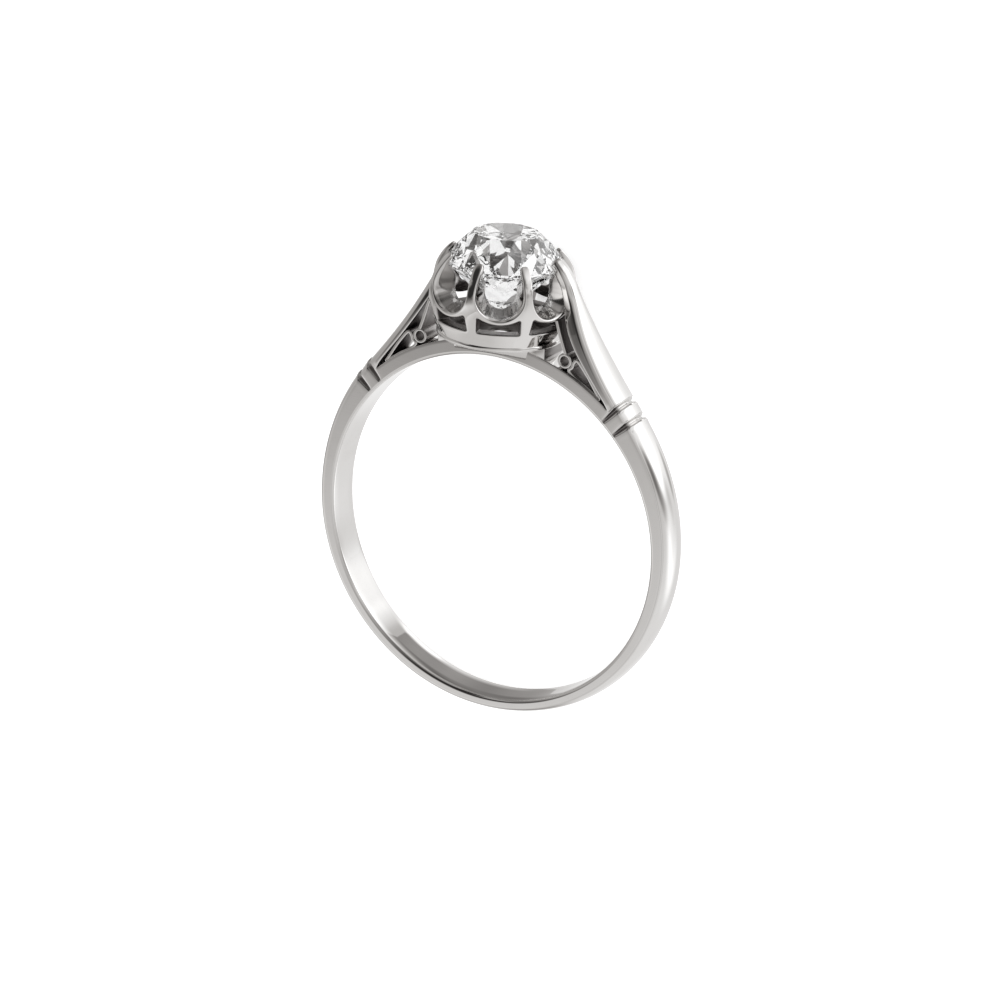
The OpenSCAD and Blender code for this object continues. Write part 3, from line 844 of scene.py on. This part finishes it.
# The floor is a plain white sheet of paper on a light table, so it glows a little through. It stays out of
# the mirror images: the studio below gives those.
floor_mesh = bpy.data.meshes.new("floor")
floor_mesh.from_pydata([(-1.5, -1.5, 0), (1.5, -1.5, 0), (1.5, 1.5, 0), (-1.5, 1.5, 0)], [], [(0, 1, 2, 3)])
floor = bpy.data.objects.new("floor", floor_mesh)
bpy.context.scene.collection.objects.link(floor)
paper = bpy.data.materials.new("white paper")
paper.use_nodes = True
paper_surface = paper.node_tree.nodes["Principled BSDF"]
paper_surface.inputs["Base Color"].default_value = (0.9, 0.9, 0.9, 1)
paper_surface.inputs["Roughness"].default_value = 0.9
paper_surface.inputs["Specular IOR Level"].default_value = 0
paper_surface.inputs["Emission Color"].default_value = (1, 1, 1, 1)
paper_surface.inputs["Emission Strength"].default_value = 0.5
floor_mesh.materials.append(paper)
floor.visible_glossy = False
floor.visible_transmission = False

# The studio: an even soft light on the paper, and for the metal and the stone a tent of white sheets with
# gaps and dark cards between them. Each sheet or card is a soft oval in one direction from the ring.
tent_level = 0.45
cards = [  # azimuth, elevation, turn, half width, half height, strength
    (143, -27, 17, 0.98, 1.29, 0.41),
    (55, -27, 90, 0.73, 0.27, 0.60),
    (-133, 29, 65, 0.80, 0.19, 0.29),
    (79, -1, 51, 0.39, 0.14, -0.47),
    (1, 56, 61, 0.81, 0.30, -0.27),
    (-166, -7, 24, 0.14, 0.26, -0.38),
    (35, -8, 110, 0.43, 0.17, 0.40),
    (106, -32, 141, 0.30, 0.36, 0.55),
    (8, -53, 176, 0.17, 0.10, 1.11),
    (-27, -8, 55, 0.90, 0.22, -0.19),
    (70, -17, 160, 0.20, 0.28, 0.81),
    (-113, -57, 160, 0.65, 0.23, 0.23),
    (-119, 33, 46, 0.44, 0.18, 0.23),
    (105, 71, 137, 0.76, 0.18, 0.19),
    (104, 31, 16, 0.56, 0.15, -0.10),
    (32, 9, 161, 0.59, 0.17, 0.24),
    (7, -34, 13, 0.55, 0.13, 0.36),
    (-30, -57, 82, 0.13, 0.34, 0.57),
    (47, 24, 74, 0.59, 0.16, -0.17),
    (-72, 46, 29, 0.74, 0.10, -0.14),
    (-24, -33, 33, 0.79, 0.19, -0.16),
    (-126, -34, 41, 0.80, 0.20, -0.19),
    (21, 14, 156, 0.85, 0.13, -0.23),
    (-49, -48, 120, 0.33, 0.33, -0.20),
    (-23, 33, 80, 0.35, 0.12, -0.31),
    (-107, -16, 5, 0.17, 0.21, -0.28),
    (74, -68, 178, 0.11, 0.16, -0.47),
    (-160, -31, 70, 0.32, 0.14, -0.35),
    (34, -51, 105, 0.90, 0.10, 0.22),
    (66, 27, 67, 0.50, 0.15, 0.21),
    (-72, 79, 19, 1.60, 0.48, -0.08),
    (91, -33, 136, 0.21, 0.36, -0.37),
    (74, 15, 103, 1.20, 0.17, -0.11),
    (58, -22, 0, 0.62, 0.34, 0.30),
    (-60, 67, 0, 0.42, 0.26, -0.32),
    (-23, 42, 0, 0.16, 0.22, -0.25),
]
sky_level = 1.45
sky_cards = [  # the same, as the stone shows them through its facets
    (70, 53, 0, 0.20, 0.36, -1.27),
    (-65, -42, 0, 0.20, 0.15, -0.95),
    (16, 14, 0, 0.22, 0.30, -1.27),
    (-70, 43, 0, 0.25, 0.20, -1.00),
    (64, -71, 0, 0.30, 0.25, 0.30),
    (-17, 40, 0, 0.25, 0.25, 0.30),
]


def card_group():
    """A soft oval seen in one direction: its strength falls off from the middle."""
    g = bpy.data.node_groups.new("soft card", "ShaderNodeTree")
    for name in ("Direction", "Facing", "Across", "Along"):
        socket(g, name, "NodeSocketVector")
    socket(g, "Strength", "NodeSocketFloat", 1.0)
    socket(g, "Light", "NodeSocketFloat", out=True)
    n, link = g.nodes, g.links.new
    given, out = n.new("NodeGroupInput"), n.new("NodeGroupOutput")

    def dot(a, b):
        d = n.new("ShaderNodeVectorMath")
        d.operation = "DOT_PRODUCT"
        link(a, d.inputs[0])
        link(b, d.inputs[1])
        return d.outputs["Value"]

    def calc(operation, a, b):
        m = n.new("ShaderNodeMath")
        m.operation = operation
        for i, v in enumerate((a, b)):
            if isinstance(v, float):
                m.inputs[i].default_value = v
            elif v is not None:
                link(v, m.inputs[i])
        return m.outputs[0]

    flat = n.new("ShaderNodeCombineXYZ")
    link(dot(given.outputs["Direction"], given.outputs["Across"]), flat.inputs["X"])
    link(dot(given.outputs["Direction"], given.outputs["Along"]), flat.inputs["Y"])
    spread = dot(flat.outputs[0], flat.outputs[0])
    fall = calc("EXPONENT", calc("MULTIPLY", calc("POWER", spread, 2.0), -1.0), None)
    front = calc("GREATER_THAN", dot(given.outputs["Direction"], given.outputs["Facing"]), 0.0)
    link(calc("MULTIPLY", calc("MULTIPLY", fall, front), given.outputs["Strength"]), out.inputs["Light"])
    return g


world = bpy.data.worlds.new("studio")
bpy.context.scene.world = world
world.use_nodes = True
world_nodes, world_link = world.node_tree.nodes, world.node_tree.links.new
where = world_nodes.new("ShaderNodeTexCoord")
soft_card = card_group()


def sheets(level, rows, least, most):
    """The light of an even tent and of the cards in it, as one background. Where it is dim, it is warmer."""
    total = None
    for azimuth, elevation, turn, half_w, half_h, strength in rows:
        azimuth, elevation, turn = (math.radians(v) for v in (azimuth, elevation, turn))
        facing = Vector((math.sin(azimuth) * math.cos(elevation), math.cos(azimuth) * math.cos(elevation),
                         math.sin(elevation)))
        first = Vector((0, 0, 1)).cross(facing).normalized()
        second = facing.cross(first)
        card = world_nodes.new("ShaderNodeGroup")
        card.node_tree = soft_card
        world_link(where.outputs["Generated"], card.inputs["Direction"])
        card.inputs["Facing"].default_value = facing
        card.inputs["Across"].default_value = (math.cos(turn) * first + math.sin(turn) * second) / half_w
        card.inputs["Along"].default_value = (math.cos(turn) * second - math.sin(turn) * first) / half_h
        card.inputs["Strength"].default_value = strength
        joined = world_nodes.new("ShaderNodeMath")
        world_link(card.outputs["Light"], joined.inputs[0])
        if total is None:
            joined.inputs[1].default_value = level
        else:
            world_link(total, joined.inputs[1])
        total = joined.outputs[0]
    bounded = world_nodes.new("ShaderNodeClamp")
    bounded.inputs["Min"].default_value = least
    bounded.inputs["Max"].default_value = most
    world_link(total, bounded.inputs["Value"])
    tint = world_nodes.new("ShaderNodeMix")
    tint.data_type = "RGBA"
    tint.inputs[6].default_value = (1.0, 0.955, 0.92, 1)
    tint.inputs[7].default_value = (1.0, 1.0, 1.0, 1)
    world_link(bounded.outputs[0], tint.inputs[0])
    background = world_nodes.new("ShaderNodeBackground")
    world_link(tint.outputs[2], background.inputs["Color"])
    world_link(bounded.outputs[0], background.inputs["Strength"])
    return background


tent = sheets(tent_level, cards, least=0.03, most=1.6)
sky = sheets(sky_level, sky_cards, least=0.02, most=1.6)
even = world_nodes.new("ShaderNodeBackground")
even.inputs["Color"].default_value = (1, 1, 1, 1)
even.inputs["Strength"].default_value = 1.0
path = world_nodes.new("ShaderNodeLightPath")
mirrored = world_nodes.new("ShaderNodeMixShader")
world_link(path.outputs["Is Glossy Ray"], mirrored.inputs[0])
world_link(even.outputs[0], mirrored.inputs[1])
world_link(tent.outputs[0], mirrored.inputs[2])
choice = world_nodes.new("ShaderNodeMixShader")
world_link(path.outputs["Is Transmission Ray"], choice.inputs[0])
world_link(mirrored.outputs[0], choice.inputs[1])
world_link(sky.outputs[0], choice.inputs[2])
world_link(choice.outputs[0], world_nodes["World Output"].inputs["Surface"])
bpy.context.scene.view_settings.view_transform = "Standard"
bpy.context.scene.cycles.max_bounces = 24
bpy.context.scene.cycles.glossy_bounces = 16
bpy.context.scene.cycles.transmission_bounces = 16

# The camera looks at the ring from the right and above its front, as the photograph does. The angles are
# taken about the upright ring, and the whole view lies down with it.
view_a, view_e, view_roll = (math.radians(v) for v in (28.484, 19.531, 1.147))
view_shift = Vector((-0.1492, -1.1450, -141.62))
back = Vector((math.sin(view_a) * math.cos(view_e), -math.cos(view_a) * math.cos(view_e), math.sin(view_e)))
right = Vector((math.cos(view_a), math.sin(view_a), 0))
up = back.cross(right)
turned_right = math.cos(view_roll) * right + math.sin(view_roll) * up
turned_up = math.cos(view_roll) * up - math.sin(view_roll) * right
axes = Matrix((turned_right, turned_up, back)).transposed().to_4x4()
camera = bpy.data.objects.new("camera", bpy.data.cameras.new("camera"))
bpy.context.scene.collection.objects.link(camera)
camera.data.lens = 108
camera.data.sensor_width = 36
camera.data.clip_start = 0.001
eye = axes.to_3x3() @ -view_shift
pose = rest_turn @ axes
pose.translation = laid @ eye
camera.matrix_world = pose
bpy.context.scene.camera = camera
